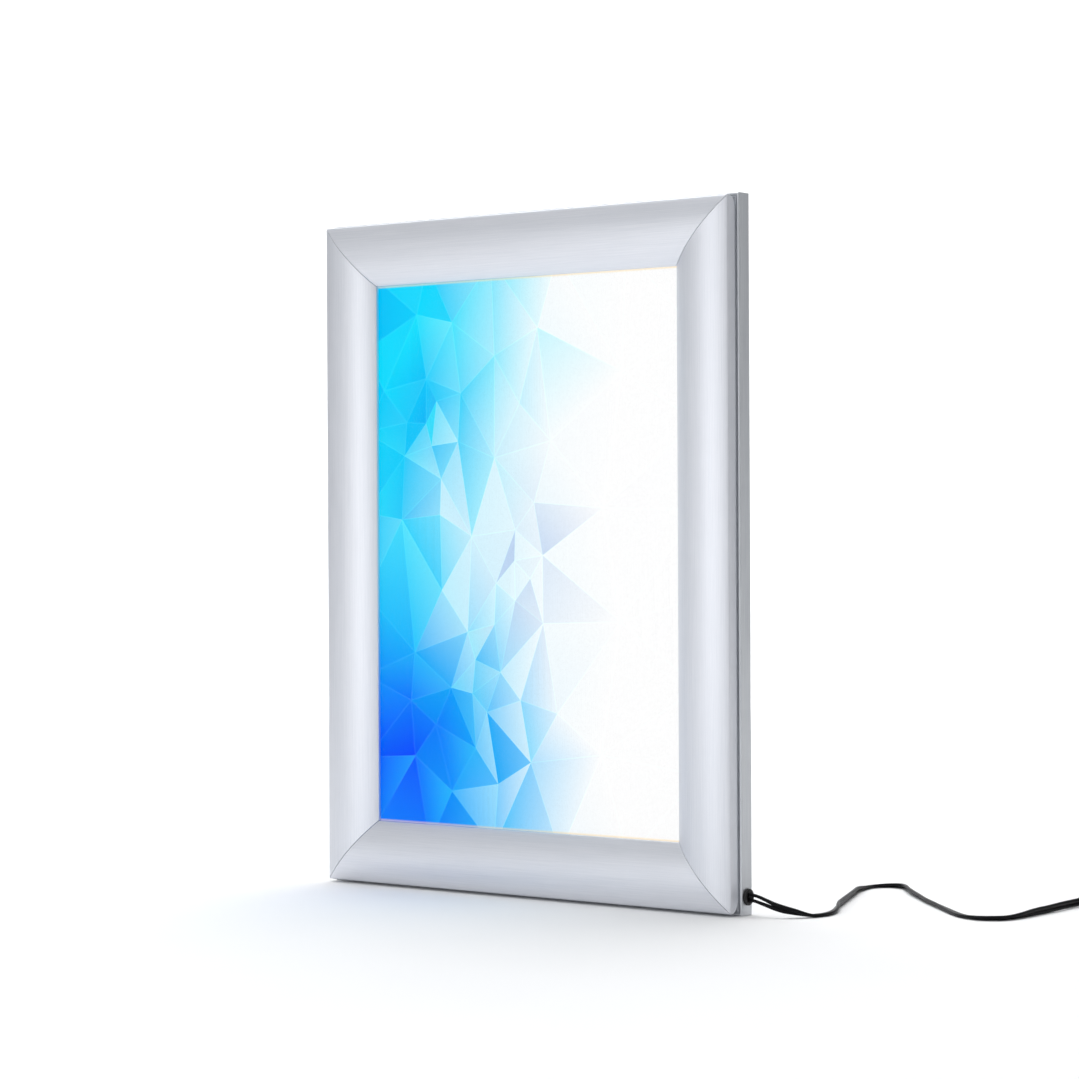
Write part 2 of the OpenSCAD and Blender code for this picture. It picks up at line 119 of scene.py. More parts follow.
def sharpen(piece, degrees):
    """Marks edges sharper than this, so that flat faces stay flat and rounds stay smooth."""
    piece.data.set_sharp_from_angle(angle=math.radians(degrees))
    return piece


def skin_faces(rows, count, first=0, closed_ends=True):
    """Faces over rows of count points each, numbered from first, and over both ends."""
    faces = []
    for i in range(rows - 1):
        a, b = first + i * count, first + (i + 1) * count
        for j in range(count):
            k = (j + 1) % count
            faces.append((a + j, a + k, b + k, b + j))
    if closed_ends:
        last = first + (rows - 1) * count
        faces.append(tuple(first + j for j in range(count))[::-1])
        faces.append(tuple(last + j for j in range(count)))
    return faces


def loft(name, rings, closed_ends=True):
    """A skin over equal rings of points."""
    points = [p for ring in rings for p in ring]
    return mesh_object(name, points, skin_faces(len(rings), len(rings[0]), 0, closed_ends))


def bend(before, here, after, size, steps):
    """Points of a smooth curve that rounds the corner at here, from size before it to size after."""
    start = here + (before - here).normalized() * size
    end = here + (after - here).normalized() * size
    shares = [i / steps for i in range(steps + 1)]
    return [start * (1 - k) ** 2 + here * 2 * k * (1 - k) + end * k * k for k in shares]


def rounded(profile, radius, steps):
    """Rounds the inner corners of an open (along, radius) profile, less where its sides are short."""
    out = [profile[0]]
    for corner in zip(profile, profile[1:], profile[2:]):
        before, here, after = (Vector(p) for p in corner)
        room = SIDE_SHARE * min((before - here).length, (after - here).length)
        out += bend(before, here, after, min(radius, room), steps)
    return out + [profile[-1]]


def turned(name, profile, foot, turns, soften=0.0, steps=4):
    """A round piece along +X from foot, from (distance along, radius) pairs in millimetres."""
    shape = [(along * MM, radius * MM) for along, radius in profile]
    if soften:
        shape = rounded(shape, soften * MM, steps)
    across = X_AXIS.orthogonal().normalized()
    third = X_AXIS.cross(across)
    angles = [2 * math.pi * j / turns for j in range(turns)]
    spokes = [across * math.cos(a) + third * math.sin(a) for a in angles]
    rings = [[foot + X_AXIS * along + spoke * radius for spoke in spokes] for along, radius in shape]
    return sharpen(loft(name, rings), ROUND_SHARP)


def lerp(a, b, k):
    return a + (b - a) * k


def mix(a, b, k):
    return tuple(lerp(x, y, k) for x, y in zip(a, b))


# ---- the lead -------------------------------------------------------------

LEAD_W = 4.0 * MM
LEAD_T = 1.6 * MM
CLEAR = 0.05 * MM  # between the lead and the surface, and between the coil's turns
RIM_T = 1.4 * MM
GROMMET_FOOT = Vector((SIDE_X, EDGE_Y + 12.1 * MM, 8.8 * MM))
ENTRY = GROMMET_FOOT + X_AXIS * RIM_T

# The lead's route over the surface, in metres. X is measured from the side wall.
ROUTE = [
    (RIM_T, ENTRY.y, ENTRY.z), (0.005, 0.0057, 0.0083), (0.01, 0.0058, 0.0069),
    (0.015, 0.0063, 0.0053), (0.02, 0.008, 0.0039), (0.025, 0.0115, 0.0028),
    (0.03, 0.018, 0.0023), (0.0315, 0.027, 0.0023), (0.0285, 0.038, 0.0023),
    (0.022, 0.051, 0.0023), (0.0155, 0.066, 0.0023), (0.009, 0.081, 0.0023),
    (0.0025, 0.096, 0.0023), (-0.0032, 0.109, 0.0023), (-0.0072, 0.12, 0.0023),
    (-0.0087, 0.13, 0.0023), (-0.0073, 0.1352, 0.0023), (-0.0035, 0.139, 0.0023),
    (0.0015, 0.1402, 0.0023), (0.0064, 0.1388, 0.0023), (0.0105, 0.135, 0.0023),
    (0.0155, 0.129, 0.0023), (0.0215, 0.1215, 0.0023), (0.029, 0.1133, 0.0023),
    (0.0375, 0.1045, 0.0023), (0.047, 0.0945, 0.0023), (0.058, 0.084, 0.0023),
    (0.069, 0.0735, 0.0023), (0.079, 0.064, 0.0023), (0.088, 0.057, 0.0023),
    (0.098, 0.054, 0.0023), (0.1065, 0.058, 0.0023), (0.11, 0.067, 0.0023),
    (0.111, 0.079, 0.0023), (0.1115, 0.091, 0.0023), (0.112, 0.103, 0.0023),
    (0.112, 0.115, 0.0023), (0.112, 0.126, 0.0023), (0.112, 0.138, 0.0026),
]
# How the flat lead is turned at a distance along that route: 0 lies flat, 1 stands on its edge.
ON_EDGE = [
    (0.0, 1.0), (0.014, 0.95), (0.034, 0.05), (0.043, 0.10), (0.075, 0.85), (0.125, 0.70),
    (0.155, 0.10), (0.190, 0.50), (0.245, 0.30), (0.285, 0.05), (0.312, 0.25), (0.345, 0.80),
    (0.375, 1.0),
]
# Stretches along the route, as where each starts and how long it is: the lead comes down onto the
# surface, it follows the route up again to its coil, and before all that its two cores join.
LANDS = (0.022, 0.012)
LIFTS = (0.345, 0.02)
JOINS = (0.004, 0.012)

CORE_SIDES = 14
CORE_R = LEAD_T / 2
CORE_AT = (LEAD_W - LEAD_T) / 2  # a core's middle from the lead's middle
CORE_REACH = CORE_AT + 0.12 * MM  # how far a joined core reaches towards the other one
CORES_PART = 0.1 * MM  # how much further out each core lies where they are parted

COIL_R = 24 * MM
COIL_PITCH = LEAD_T + CLEAR
COIL_TURNS = 7.25
TURN_STEPS = 56
# Turns at which the lead moves in by a row, climbs to the second layer, and moves out by a row,
# and how much of a turn each move takes.
COIL_IN_AT = (0.5, 1.5, 2.5)
COIL_CLIMB_AT = 3.4
COIL_OUT_AT = (4.28, 5.28, 6.28)
COIL_STEP = 0.12
COIL_OUTER = COIL_R + 1.5 * COIL_PITCH
COIL_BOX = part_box("lead_coil")
COIL_AT = Vector((
    (COIL_BOX[0][0] + COIL_BOX[1][0]) / 2,
    (COIL_BOX[0][1] + COIL_BOX[1][1]) / 2,
    COIL_BOX[0][2],
))
# From the coil's last turn to the plug, measured from the coil's middle.
TAIL = [
    (0.008, 0.0274, 0.0073), (0.013, 0.028, 0.0068),
    (0.018, 0.0294, 0.0056), (0.023, 0.030, 0.005),
]
ROUTE_STEPS, TAIL_STEPS = 6, 5  # points to a span of the route and of the tail


def smoothstep(k):
    k = min(1.0, max(0.0, k))
    return k * k * (3 - 2 * k)


def eased(along, stretch):
    """From 0 to 1 over a stretch, given as where it starts and how long it is."""
    start, length = stretch
    return smoothstep((along - start) / length)


def catmull(points, steps):
    """A smooth curve through the points, steps to a span."""
    path = []
    for i in range(len(points) - 1):
        a, b = points[max(0, i - 1)], points[i]
        c, d = points[i + 1], points[min(len(points) - 1, i + 2)]
        for j in range(steps):
            k = j / steps
            path.append(0.5 * (
                2 * b + (c - a) * k + (2 * a - 5 * b + 4 * c - d) * k * k
                + (3 * b - a - 3 * c + d) * k * k * k
            ))
    return path + [points[-1]]


def edge_share(along):
    """How far the lead stands on its edge at this distance from the grommet."""
    for (start, first), (end, second) in zip(ON_EDGE, ON_EDGE[1:]):
        if along < end:
            return lerp(first, second, eased(along, (start, end - start)))
    return ON_EDGE[-1][1]


def coil_points():
    """Turns inwards on the surface, then a step up and back out on top of them."""

    def moved(turn, at):
        return smoothstep((turn - at) / COIL_STEP + 0.5)

    points = []
    steps = int(COIL_TURNS * TURN_STEPS)
    for i in range(1, steps + 1):
        turn = COIL_TURNS * i / steps
        rows = sum(moved(turn, at) for at in COIL_IN_AT) - sum(moved(turn, at) for at in COIL_OUT_AT)
        radius = COIL_OUTER - COIL_PITCH * rows
        angle = math.pi - 2 * math.pi * turn
        height = LEAD_W / 2 + LEAD_W * moved(turn, COIL_CLIMB_AT)
        points.append(COIL_AT + Vector((radius * math.cos(angle), radius * math.sin(angle), height)))
    return points


def tail_point(x, y, z):
    return Vector((COIL_AT.x + x, COIL_AT.y + y, z))


def lead_path():
    """(centre, share on edge) all along the lead."""
    run = catmull([Vector((SIDE_X + x, y, z)) for x, y, z in ROUTE], ROUTE_STEPS)
    path, along = [], 0.0
    for i, p in enumerate(run):
        if i:
            along += (p - run[i - 1]).length
        share = edge_share(along)
        lies = CORE_R + CORE_AT * math.sin(share * math.pi / 2) + CLEAR
        drop = max(0.0, p.z - lies) * eased(along, LANDS) * (1 - eased(along, LIFTS))
        path.append((p - Z_AXIS * drop, share))
    tail = catmull([tail_point(*p) for p in TAIL], TAIL_STEPS)
    return path + [(p, 1.0) for p in coil_points() + tail]


def core_rings(path, side):
    """Rings of one core of the twin lead. Its cores part a little where they leave the grommet."""
    rings, along = [], 0.0
    for i, (centre, share) in enumerate(path):
        if i:
            along += (centre - path[i - 1][0]).length
        ahead = (path[min(i + 1, len(path) - 1)][0] - path[max(i - 1, 0)][0]).normalized()
        across = ahead.cross(Z_AXIS).normalized()
        upward = across.cross(ahead)
        turn = share * math.pi / 2
        wide = across * math.cos(turn) + upward * math.sin(turn)
        thick = upward * math.cos(turn) - across * math.sin(turn)
        parted = 1 - eased(along, JOINS)
        inwards = CORE_REACH - (CORE_REACH - CORE_R) * parted
        middle = centre + wide * side * (CORE_AT + CORES_PART * parted)
        ring = []
        for j in range(CORE_SIDES):
            a = 2 * math.pi * j / CORE_SIDES
            reach = CORE_R if math.cos(a) * side > 0 else inwards
            ring.append(middle + wide * math.cos(a) * reach + thick * math.sin(a) * CORE_R)
        rings.append(ring)
    return rings


def make_lead():
    """The flat twin lead, and the line that it follows."""
    path = lead_path()
    points, faces = [], []
    for side in (1, -1):
        faces += skin_faces(len(path), CORE_SIDES, len(points))
        points += [p for ring in core_rings(path, side) for p in ring]
    return mesh_object("lead", points, faces), [p for p, share in path]


lead, LEAD_PATH = make_lead()
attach(lead, "root")
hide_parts("lead_run", "lead_coil", "lead_tail")

# ---- pieces on the lead ---------------------------------------------------

# The plug's three lengths follow each other along +X, from the end of the tail.
RELIEF_AT = tail_point(*TAIL[-1])
BODY_AT = RELIEF_AT + X_AXIS * 10 * MM
BARREL_AT = BODY_AT + X_AXIS * 18 * MM
RELIEF_GROOVES = 5
BODY_GROOVES = 4


def make_grommet():
    """Low round rim with a dished middle where the flat lead comes out."""
    profile = [(-1.55, 1.9), (0, 1.9), (0, 4.05), (1.1, 4.0), (1.4, 3.3), (1.4, 2.6)]
    profile += [(0.7, 2.3), (0.6, 0.3)]
    return turned("grommet", profile, GROMMET_FOOT, 64, 0.45)


def make_relief():
    """Tapered sleeve with flex grooves round it."""
    profile = [(0, 1.2), (0, 2.7)]
    for i in range(RELIEF_GROOVES):
        start, crest = 1.1 + i * 1.75, 2.9 + i * 0.2
        groove = crest - 0.55
        profile += [(start, crest), (start + 0.05, groove), (start + 0.6, groove), (start + 0.65, crest)]
    profile += [(9.9, 3.85), (9.9, 1.2)]
    return turned("plug_sleeve", profile, RELIEF_AT, 40, 0.15, 2)


def make_plug_body():
    """Moulded handle with a shoulder and finger grooves."""
    crest, groove = 4.95, 4.6
    profile = [(0, 1.2), (0, 4.2), (1.6, crest)]
    for i in range(BODY_GROOVES):
        start = 3.4 + i * 2.3
        profile += [(start, crest), (start + 0.2, groove), (start + 1.0, groove), (start + 1.2, crest)]
    profile += [(15.6, crest), (17.95, 4.3), (17.95, 1.2)]
    return turned("plug_handle", profile, BODY_AT, 56, 0.3, 3)


def make_barrel():
    """Metal sleeve with a rolled front edge and an open bore."""
    profile = [(0, 1.6), (0, 2.72), (0.5, 2.72), (0.6, 2.66), (9.1, 2.66), (9.45, 2.5)]
    profile += [(9.45, 2.15), (9.1, 2.05), (2.4, 2.05), (2.4, 1.6)]
    return turned("plug_sleeve_metal", profile, BARREL_AT, 48, 0.12, 3)


def make_insulator():
    """Black liner inside the sleeve, with the hole for the pin."""
    profile = [(1.6, 1.05), (9.0, 1.05), (9.2, 1.25), (9.2, 1.85), (9.0, 2.04), (1.6, 2.04)]
    return turned("plug_liner", profile, BARREL_AT, 32)


def loop_outline(low, high, radius, steps=5):
    """A rounded rectangle between two corners."""
    out = []
    for corner in range(4):
        x = high[0] - radius if corner in (0, 3) else low[0] + radius
        y = high[1] - radius if corner in (0, 1) else low[1] + radius
        for i in range(steps + 1):
            a = math.radians(90 * (corner + i / steps))
            out.append((x + radius * math.cos(a), y + radius * math.sin(a)))
    return out


TIE_ANGLE = math.radians(-30)
TIE_WIDE = 7.9 * MM
TIE_THICK = 0.55 * MM
TIE_ROUND = 1.3 * MM
TIE_SHARP = 50  # degrees


def make_tie():
    """Woven strap round the coil."""
    reach = 2 * COIL_PITCH + MM
    low = (COIL_R - reach, 0.3 * MM)
    high = (COIL_R + reach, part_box("lead_tie")[1].z - 0.35 * MM)
    line = loop_outline(low, high, TIE_ROUND)
    count = len(line)
    spin = Matrix.Rotation(TIE_ANGLE, 3, "Z")
    middle = Vector((COIL_AT.x, COIL_AT.y, 0))
    points, faces = [], []
    for i, (r, z) in enumerate(line):
        way = (Vector(line[(i + 1) % count]) - Vector(line[i - 1])).normalized()
        for along, out in ((-0.5, -0.5), (0.5, -0.5), (0.5, 0.5), (-0.5, 0.5)):
            thick = out * TIE_THICK
            place = Vector((r + way.y * thick, along * TIE_WIDE, z - way.x * thick))
            points.append(middle + spin @ place)
    for i in range(count):
        a, b = i * 4, (i + 1) % count * 4
        for j in range(4):
            k = (j + 1) % 4
            faces.append((a + j, b + j, b + k, a + k))
    return sharpen(mesh_object("tie_strap", points, faces), TIE_SHARP)


grommet = make_grommet()
relief = make_relief()
plug_body = make_plug_body()
barrel = make_barrel()
insulator = make_insulator()
tie = make_tie()

LEAD_PIECES = {
    grommet: ("lead_grommet", "black_rubber"),
    relief: ("plug_relief", "plug_black"),
    plug_body: ("plug_body", "plug_black"),
    barrel: ("plug_barrel", "nickel"),
    tie: ("lead_tie", "tie_black"),
}
for piece, (node, slot) in LEAD_PIECES.items():
    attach(piece, "root")
    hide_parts(node)
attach(insulator, "root")

# ---- front rails ----------------------------------------------------------

# Section of a front rail in millimetres: u runs inwards from the housing's edge
# and s backwards from the rail's outer front edge, as in the CAD model.
RAIL_OUT = 1.5
RAIL_IN = 33.5
RAIL_DROP = 3.2
DOME_R = 29.0
SKIN = 1.2
WALL_T = 1.4
NOSE_END = 4.7
WEB_FRONT, WEB_BACK, WEB_IN = 1.4, 2.4, 10.2
BEAD_U, BEAD_R = 2.7, 1.2
END_ROUND = 5.0  # of the outer wall's rear corner at each end of the rail
WALL_ZONE = 4.9  # the outer wall and its bead have a smaller u than this
EDGE_ROUND = 0.55  # of the outer front edge
NOSE_ROUND = 0.45  # of the inner front edge
LIP_ROUND = 0.4  # of the two edges behind it, where the nose presses on the cover
WEB_ROUND = 0.3
FIRST_CHORD, LAST_CHORD = 3, 2  # stretches of u that give the dome's slope at its two ends
DOME_STEPS = 60
SKIN_STEPS = 40
BEAD_STEPS = 24
WALL_STEP = 0.35
MITRE_GAP = 0.14
CHAMFER = 0.14  # round the mitred ends
CHAMFER_LENGTH = 1.4 * CHAMFER
RAIL_SHARP = 28  # degrees


def dome_centre():
    wide = RAIL_IN - RAIL_OUT
    chord = math.hypot(wide, RAIL_DROP)
    rise = math.sqrt(DOME_R ** 2 - chord ** 2 / 4)
    return RAIL_OUT + wide / 2 - rise * RAIL_DROP / chord, RAIL_DROP / 2 + rise * wide / chord


def dome_point(u, radius=DOME_R):
    """A point of the dome's front, or of its back with the smaller radius."""
    cu, cs = dome_centre()
    return u, cs - math.sqrt(radius ** 2 - (u - cu) ** 2)


def round_corner(before, here, after, size, steps=4):
    return [tuple(p) for p in bend(Vector(before), Vector(here), Vector(after), size, steps)]


def straight(a, b):
    """Points between a and b, about WALL_STEP apart."""
    count = max(1, round(math.dist(a, b) / WALL_STEP))
    return [mix(a, b, i / count) for i in range(1, count)]


def rail_outline():
    """The closed outline, from the outer front corner inwards and back round."""
    nose_u, wall_u = RAIL_IN - WALL_T, RAIL_OUT + WALL_T
    front_out, front_in = dome_point(RAIL_OUT), dome_point(RAIL_IN)
    nose_tip, nose_back = (RAIL_IN, NOSE_END), (nose_u, NOSE_END)
    web_tip, web_heel = (WEB_IN, WEB_FRONT), (WEB_IN, WEB_BACK)
    out = round_corner((RAIL_OUT, BEAD_S), front_out, dome_point(RAIL_OUT + FIRST_CHORD), EDGE_ROUND)
    first, last = RAIL_OUT + EDGE_ROUND, RAIL_IN - NOSE_ROUND
    for i in range(1, DOME_STEPS):
        out.append(dome_point(first + (last - first) * i / DOME_STEPS))
    out += round_corner(dome_point(RAIL_IN - LAST_CHORD), front_in, nose_tip, NOSE_ROUND)
    out += round_corner(front_in, nose_tip, nose_back, LIP_ROUND)
    out += round_corner(nose_tip, nose_back, (nose_u, 0), LIP_ROUND)
    for i in range(SKIN_STEPS + 1):
        out.append(dome_point(nose_u - (nose_u - wall_u) * i / SKIN_STEPS, DOME_R - SKIN))
    out.append((wall_u, WEB_FRONT))
    out += round_corner((wall_u, WEB_FRONT), web_tip, web_heel, WEB_ROUND, 3)
    out += round_corner(web_tip, web_heel, (wall_u, WEB_BACK), WEB_ROUND, 3)
    out.append((wall_u, WEB_BACK))
    start = math.atan2(-math.sqrt(BEAD_R ** 2 - (wall_u - BEAD_U) ** 2), wall_u - BEAD_U)
    out += straight((wall_u, WEB_BACK), (wall_u, BEAD_S + BEAD_R * math.sin(start)))
    for i in range(BEAD_STEPS + 1):
        a = start + (math.pi - start) * i / BEAD_STEPS
        out.append((BEAD_U + BEAD_R * math.cos(a), BEAD_S + BEAD_R * math.sin(a)))
    return out + straight((RAIL_OUT, BEAD_S), (RAIL_OUT, front_out[1] + EDGE_ROUND))


def inset_outline(outline, depth):
    """The outline moved into the metal by depth."""
    out = []
    for i, (u, s) in enumerate(outline):
        after = outline[(i + 1) % len(outline)]
        way = (Vector(after) - Vector(outline[i - 1])).normalized()
        out.append((u - way.y * depth, s + way.x * depth))
    return out


def rail_end(side_half, u, s):
    """Where the rail's mitred end lies, with the rounded rear corner of its outer wall."""
    end = side_half - MITRE_GAP - u
    back = s - (BEAD_S - END_ROUND)
    if u < WALL_ZONE and back > 0:
        wall_end = side_half - RAIL_OUT - END_ROUND
        end = min(end, wall_end + math.sqrt(max(0.0, END_ROUND ** 2 - back ** 2)))
    return end


def side_frame(side):
    """Turns (u, s, distance along the side) into the sign's frame, for sides clockwise from the top."""
    half = (HOUSE_W if side % 2 else HOUSE_H) / 2
    return (
        Matrix.Translation((0, 0, MIDDLE_Z))
        @ Matrix.Rotation(math.radians(90 * side), 4, "Y")
        @ Matrix.Translation((0, EDGE_Y, half))
        @ Matrix.Rotation(math.radians(90), 4, "Y")
    )


def make_rail(side):
    """One front rail: its outline drawn out to both mitred ends, with a small chamfer round them."""
    outline = rail_outline()
    small = inset_outline(outline, CHAMFER)
    side_half = (HOUSE_H if side % 2 else HOUSE_W) / 2 / MM
    place = side_frame(side)
    rings = []
    for sign, line, short in ((-1, small, 0), (-1, outline, CHAMFER_LENGTH),
                              (1, outline, CHAMFER_LENGTH), (1, small, 0)):
        ends = [sign * (rail_end(side_half, u, s) - short) for u, s in line]
        rings.append([place @ (Vector((u, s, t)) * MM) for (u, s), t in zip(line, ends)])
    piece = loft("front_rail_" + SIDES[side], rings, closed_ends=False)
    cap_ends(piece, small)
    return sharpen(piece, RAIL_SHARP)


def cap_ends(piece, outline):
    """Closes both ends of a rail with triangles over its section."""
    mesh = piece.data
    points = [v.co.copy() for v in mesh.vertices]
    faces = [tuple(p.vertices) for p in mesh.polygons]
    last = len(points) - len(outline)
    for a, b, c in tessellate_polygon([[Vector((u, s, 0)) for u, s in outline]]):
        faces.append((c, b, a))
        faces.append((last + a, last + b, last + c))
    mesh.clear_geometry()
    mesh.from_pydata(points, [], faces)
    mesh.update()
    smooth_faces(mesh)


rails = []
for side, side_name in enumerate(SIDES):
    rail = make_rail(side)
    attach(rail, "front_" + side_name)
    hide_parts("snap_rail_" + side_name)
    rails.append(rail)

# ---- poster ---------------------------------------------------------------

POSTER_LOW, POSTER_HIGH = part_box("poster")
POSTER_W = POSTER_HIGH.x - POSTER_LOW.x
POSTER_H = POSTER_HIGH.z - POSTER_LOW.z
TALL = 1.414  # its height as a share of its width
NO_AREA = 1e-9  # facets with less than half of this, in square metres, are dropped
ART_SEED = 41
ART_TRIES = 2600


def to_linear(colour):
    return tuple(c / 12.92 if c <= 0.04045 else ((c + 0.055) / 1.055) ** 2.4 for c in colour)


# Places on the poster are shares of its width and height, from the lower left corner.
# Colours up its left edge, from the bottom (0) to the top (1).
EDGE_COLOURS = [
    (0.00, (0.00, 0.36, 0.99)), (0.08, (0.00, 0.24, 1.00)), (0.15, (0.00, 0.17, 1.00)),
    (0.22, (0.00, 0.24, 1.00)), (0.29, (0.06, 0.57, 0.99)), (0.36, (0.15, 0.74, 0.99)),
    (0.50, (0.15, 0.84, 0.99)), (0.60, (0.10, 0.80, 0.99)), (0.68, (0.08, 0.86, 0.99)),
    (0.78, (0.03, 0.87, 1.00)), (1.00, (0.00, 0.87, 1.00)),
]
# How far across the colour is half faded, from the bottom to the top.
FADE_AT = [
    (0.00, 0.44), (0.17, 0.42), (0.30, 0.37), (0.42, 0.29),
    (0.55, 0.19), (0.64, 0.23), (0.78, 0.33), (1.00, 0.37),
]
FADE_WIDE = 0.44
AZURE = (0.0, 0.65, 0.96)
GLINT = (0.22, 0.95, 1.00)
LOW_BLUE = (0.03, 0.66, 0.99)
PALE = (0.84, 0.96, 1.00)
WHITE = (1.0, 1.0, 1.0)
LAVENDER = (0.72, 0.81, 0.94)
RIM_COLOUR = (0.9, 0.93, 0.95)
# Where small facets crowd together: high on the left, low in the middle, and in the middle.
HIGH_CROWD = (0.22, 0.73)
LOW_CROWD = (0.34, 0.25)
MIDDLE_CROWD = (0.47, 0.48)
# The middles of the second deeper blue and of the lavender facets.
LOW_DEEP = (0.34, 0.26)
LAVENDER_AT = (0.49, 0.47)


def between(table, b):
    """The table's two values on either side of b, and how far b is from the first."""
    for (low, first), (high, second) in zip(table, table[1:]):
        if b <= high:
            return first, second, max(0.0, b - low) / (high - low)
    return table[-1][1], table[-1][1], 0.0


def near(a, b, at, reach):
    """1 at a place, falling to 0 beyond its reach."""
    return math.exp(-((a - at[0]) ** 2 + (b - at[1]) ** 2) / reach ** 2)


def art_colour(a, b, mood):
    """Colour at a share a across and b up the poster, for a facet of that mood."""
    shade, drift, mist = mood
    colour = mix(*between(EDGE_COLOURS, b))
    low = smoothstep((a - 0.07) / 0.30) * (1 - smoothstep((b - 0.28) / 0.2))
    colour = mix(colour, LOW_BLUE, 0.85 * low)
    deep = near(a, b, HIGH_CROWD, 0.11) + 0.6 * near(a, b, LOW_DEEP, 0.13)
    colour = mix(colour, AZURE, min(0.95, max(0.0, deep * (0.8 + 0.5 * shade))))
    colour = mix(colour, GLINT if shade > 0 else AZURE, min(0.7, abs(shade) * 0.28))
    fade = (a - lerp(*between(FADE_AT, b))) / FADE_WIDE + 0.5
    k = smoothstep(fade + 0.12 * drift * (a > 0.06))
    colour = mix(colour, mix(PALE, WHITE, smoothstep((a - 0.35) / 0.3)), k)
    grey = near(a, b, LAVENDER_AT, 0.13) * (0.35 + 0.45 * mist)
    return mix(colour, LAVENDER, min(0.85, max(0.0, grey)))


def facet_room(a, b):
    """Least distance between corners: small facets in the crowds, large ones between."""
    crowd = near(a, b, HIGH_CROWD, 0.14) + near(a, b, LOW_CROWD, 0.15) + near(a, b, MIDDLE_CROWD, 0.12)
    return 0.125 - 0.07 * min(1.0, crowd) + 0.10 * smoothstep((a - 0.5) / 0.3)


def poster_points(chance):
    """Corners of the facets: a few along the poster's edges, then as many as find room."""
    points = [(i / 5, j) for i in range(6) for j in (0, 1)]
    points += [(i, j / 7) for j in range(1, 7) for i in (0, 1)]
    for _ in range(ART_TRIES):
        a, b = chance.random(), chance.random()
        room = facet_room(a, b)
        if all(math.dist((a, b * TALL), (x, y * TALL)) > room for x, y in points):
            points.append((a, b))
    return points


def make_poster():
    """A thin sheet whose front is cut into flat triangles of printed colour."""
    chance = random.Random(ART_SEED)
    spots = [Vector(p) for p in poster_points(chance)]
    verts, _, triangles, *_ = delaunay_2d_cdt(spots, [], [], 0, 1e-6)
    place = [Vector((POSTER_LOW.x + v.x * POSTER_W, POSTER_LOW.z + v.y * POSTER_H)) for v in verts]
    faces, colours, distances = [], [], []
    for face in triangles:
        p = [place[i] for i in face]
        double_area = (p[1] - p[0]).cross(p[2] - p[0])
        if double_area < 0:
            face, p = face[::-1], p[::-1]
        if abs(double_area) < NO_AREA:
            continue
        faces.append(tuple(face))
        mood = [chance.gauss(0, 1) for _ in range(3)]
        for i in range(3):
            side = (p[(i + 1) % 3] - p[(i + 2) % 3]).length
            across = (p[i].x - POSTER_LOW.x) / POSTER_W
            upwards = (p[i].y - POSTER_LOW.z) / POSTER_H
            local = [mood[0] + chance.gauss(0, 0.5), *mood[1:]]
            colours += [*to_linear(art_colour(across, upwards, local)), 1]
            distances += [abs(double_area) / side if i == j else 0 for j in range(3)]
    low, high = POSTER_LOW, POSTER_HIGH
    corners = [(low.x, low.z), (high.x, low.z), (high.x, high.z), (low.x, high.z)]
    points = [(p.x, low.y, p.y) for p in place]
    points += [(x, y, z) for y in (low.y, high.y) for x, z in corners]
    for quad in ((0, 1, 5, 4), (1, 2, 6, 5), (2, 3, 7, 6), (3, 0, 4, 7), (4, 5, 6, 7)):
        faces.append(tuple(len(place) + i for i in quad)[::-1])
        colours += [*RIM_COLOUR, 1] * 4
        distances += [1, 1, 1] * 4
    piece = mesh_object("printed_poster", points, faces, smooth=False)
    made = piece.data.attributes
    made.new("facet_colour", "FLOAT_COLOR", "CORNER").data.foreach_set("color", colours)
    made.new("edge_distance", "FLOAT_VECTOR", "CORNER").data.foreach_set("vector", distances)
    return piece


printed = make_poster()
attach(printed, "root")
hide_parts("poster")

# ---- materials ------------------------------------------------------------

LINE_STRETCH = 0.012  # the brushed grain's scale along a rail, against 1 across it


def add_node(tree, kind, inputs, **settings):
    """A new node. Each of its inputs is a fixed value or another node's output."""
    node = tree.nodes.new(kind)
    for setting, value in settings.items():
        setattr(node, setting, value)
    for socket, value in inputs.items():
        if isinstance(value, bpy.types.NodeSocket):
            tree.links.new(value, node.inputs[socket])
        else:
            node.inputs[socket].default_value = value
    return node


